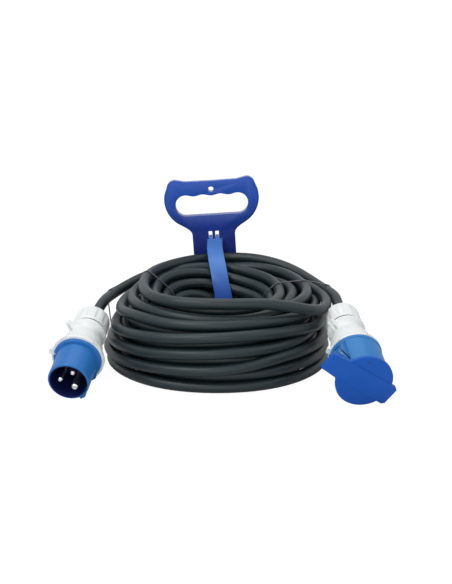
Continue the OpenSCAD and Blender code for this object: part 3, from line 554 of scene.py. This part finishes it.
def grooved(piece):
    """Cuts the groove into both cheeks of the bracket and leaves its middle."""
    for side in (-1, 1):
        bpy.ops.object.select_all(action="DESELECT")
        bpy.ops.mesh.primitive_cube_add(size=1)
        cutter = bpy.context.object
        aside = Vector((0, side * (grooves_apart + groove_size.y) / 2, 0))
        lean = Matrix.Rotation(math.radians(groove_lean), 4, "Y")
        there = bracket_place @ Matrix.Translation(groove_at + aside)
        cutter.matrix_world = there @ lean @ Matrix.Diagonal(groove_size.to_4d())
        cut = piece.modifiers.new("groove", "BOOLEAN")
        cut.operation, cut.solver, cut.object = "DIFFERENCE", "EXACT", cutter
        bpy.context.view_layer.objects.active = piece
        bpy.ops.object.modifier_apply(modifier="groove")
        bpy.data.objects.remove(cutter)
    return piece


def painted_groove_shade(start, spot, colour):
    """Painted shade that darkens both grooves, and the strip over the bracket's middle that joins them."""
    lean_back = Matrix.Rotation(math.radians(-groove_lean), 4, "Y")
    to_groove = lean_back @ Matrix.Translation(-groove_at) @ bracket_place.inverted()
    limits = {2: groove_size.z / 2 + painted_shade_over, 1: painted_shade_half}
    masks = []
    for row, limit in limits.items():
        axis, shift = to_groove[row][:3], to_groove[row][3]
        along = start.node("VectorMath", {"operation": "DOT_PRODUCT"}, {0: spot, 1: axis}, out="Value")
        off = start.node("Math", {"operation": "ABSOLUTE"}, {0: along + shift})
        masks.append(off.maths("LESS_THAN", off, limit))
    return (masks[0] * masks[1]).shades(colour, (0.004, 0.010, 0.060))


# The bracket's blue carries painted shade in its grooves and across its middle.
bracket_blue = moulded("connector_plastic", blue_dark, blue_light, 0.36, grain=0.25, mottle=25,
                       tint=painted_groove_shade)
finished(grooved(softened("hinge_bracket", 0.5 * mm)), bracket_blue, "cord_set", "hinge_bracket")
dressed(carrier_dark, "coupler_insert", "coupler_contact_carrier")
dressed(brass, "contact_line", "contact_neutral", "contact_earth")

# ---------------------------------------------------------------- lid
# A blue moulded flap with a dimple in its face, held shut on the skirt's rim by
# a steel spring on the hinge pin. A rubber seal lies inside it.
# The dimple's dark middle, fading out round it, is painted shade.
dimple_at = coupler_place @ (Vector((3.2, 23.3, 40.5)) * mm)
dimple_r = 1.3 * mm
dimple_core = 0.6


def painted_dimple_shade(start, spot, colour):
    """Painted shade for the little dimple: dark in the middle, fading into the lid's colour round it."""
    off = start.node("VectorMath", {"operation": "DISTANCE"}, {0: spot, 1: dimple_at}, out="Value")
    return ((off - dimple_core * dimple_r) * (1 / dimple_r)).shades((0.022, 0.050, 0.16), colour)


lid_dark, lid_light = (0.0065, 0.080, 0.40), (0.0095, 0.100, 0.47)
lid_blue = moulded("lid_plastic", lid_dark, lid_light, 0.40, grain=0.25, mottle=25, shine=0.15, tint=painted_dimple_shade)
finished(softened("lid", 0.35 * mm), lid_blue, "coupler_lid", "lid")
dressed(seal_black, "lid_seal")
dressed(steel, "hinge_pin", "lid_spring")

# ---------------------------------------------------------------- handle
# A grip and a plate in one blue moulding with fat round edges. The strap that
# holds it goes under the rear turns, up through the hollow and over them.


def shade_by_height(low, high, shade):
    """A painted shade that deepens from the high level down to the low one."""

    def tint(start, spot, colour):
        height = start.node("SeparateXYZ", {}, {0: spot}, out="Z")
        return ((height - low) * (1 / (high - low))).shades(shade, colour)

    return tint


grip_dark, grip_light = (0.0075, 0.062, 0.38), (0.010, 0.080, 0.44)
# The strap is the grip's plastic, painted a lighter blue than the grip as a highlight.
strap_sheen_dark, strap_sheen_light = (0.052, 0.165, 0.47), (0.075, 0.205, 0.55)
# Grip and strap are painted darker towards the bottom as shade: fully below the lower height of each pair,
# fading out by the upper one.
grip_shaded_below, grip_lit_above = 112 * mm, 166 * mm
strap_shaded_below, strap_lit_above = 66 * mm, 96 * mm
grip_blue = moulded("handle_plastic", grip_dark, grip_light, 0.26, grain=0.2, mottle=25, coat=0.15, shine=0.2,
                    tint=shade_by_height(grip_shaded_below, grip_lit_above, (0.014, 0.028, 0.20)))
# The strap's lighter blue is a painted highlight on the grip's plastic.
strap_blue = moulded("handle_plastic", strap_sheen_dark, strap_sheen_light, 0.4, grain=0.3, mottle=20, shine=0.25,
                     tint=shade_by_height(strap_shaded_below, strap_lit_above, (0.022, 0.092, 0.42)))
finished(softened("carry_handle", 2.2 * mm, segments=4), grip_blue, "cord_set", "carry_handle")
finished(softened("handle_strap", 0.5 * mm), strap_blue, "cord_set", "handle_strap")

# ---------------------------------------------------------------- floor and light
# A plain pale floor, which the eye sees nearly white, under soft light from
# above, from both sides and from low in front.
floor_glow, glow_strength = 0.86, 1.1
floor_side, floor_drop = 12, 0.05 * mm
sky_light, sky_white = 0.45, 1.0
bpy.ops.object.select_all(action="DESELECT")
bpy.ops.mesh.primitive_plane_add(size=floor_side, location=(0, 0, -floor_drop))
floor = bpy.context.object
floor.name = "floor"
pale = bpy.data.materials.new("floor")
pale.use_nodes = True
pale.node_tree.nodes.clear()
ground = Wire(pale.node_tree)
seen = ground.node("LightPath", {}, {}, out="Is Camera Ray")
matt = ground.node("BsdfDiffuse", {}, {"Color": (0.8, 0.8, 0.8, 1)})
white = ground.node("Emission", {}, {"Color": (1, 1, 1, 1), "Strength": glow_strength})
glowing = ground.node("MixShader", {}, {0: seen * floor_glow, 1: matt, 2: white})
ground.node("OutputMaterial", {}, {"Surface": glowing})
floor.data.materials.append(pale)

world = bpy.data.worlds.new("studio")
bpy.context.scene.world = world
world.use_nodes = True
world.node_tree.nodes.clear()
sky = Wire(world.node_tree)
shown = sky.node("LightPath", {}, {}, out="Is Camera Ray")
rays = shown.socket.node.outputs
for kind in ("Is Glossy Ray", "Is Transmission Ray"):
    shown = shown.maths("MAXIMUM", shown, Wire(world.node_tree, rays[kind]))
dim = sky.node("Background", {}, {"Color": (1, 1, 1, 1), "Strength": sky_light})
clean = sky.node("Background", {}, {"Color": (1, 1, 1, 1), "Strength": sky_white})
around = sky.node("MixShader", {}, {0: shown, 1: dim, 2: clean})
sky.node("OutputWorld", {}, {"Surface": around})

aim = Vector((0, 0, 60)) * mm
for name, spot, size, power in [
    ("key", (-900, -900, 1500), 0.9, 15),
    ("fill", (1200, -700, 900), 1.2, 3),
    ("top", (0, 300, 1700), 1.4, 10),
    ("front", (-150, -1500, 260), 1.0, 5),
]:
    spot = Vector(spot) * mm
    turn = (aim - spot).to_track_quat("-Z", "Y").to_euler()
    bpy.ops.object.light_add(type="AREA", location=spot, rotation=turn)
    lamp = bpy.context.object
    lamp.name, lamp.data.size, lamp.data.energy = name, size, power

bpy.context.scene.view_settings.view_transform = "Standard"
